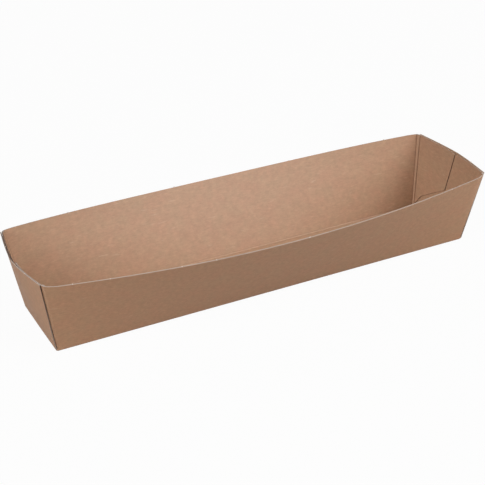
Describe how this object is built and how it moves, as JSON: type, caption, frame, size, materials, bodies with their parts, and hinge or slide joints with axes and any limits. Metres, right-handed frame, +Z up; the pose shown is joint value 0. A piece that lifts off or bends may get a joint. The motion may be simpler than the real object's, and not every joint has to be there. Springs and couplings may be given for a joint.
{
  "type": "paper food tray",
  "caption": "Long, low open-topped food tray folded from kraft paperboard, with bowed leaning walls and glued-in corner tabs.",
  "frame": {"origin": "middle of the floor's underside, on the surface the tray stands on", "axes": "+X along the tray's length, +Y across it, +Z up out of its mouth"},
  "size_m": [0.2486, 0.0812, 0.0404],
  "materials": {
    "kraft_board": "uncoated brown kraft, matte, with fine pale fibres and greyer cut edges"
  },
  "bodies": {
    "root": {"folded_tray": "kraft_board"}
  },
  "joints": []
}
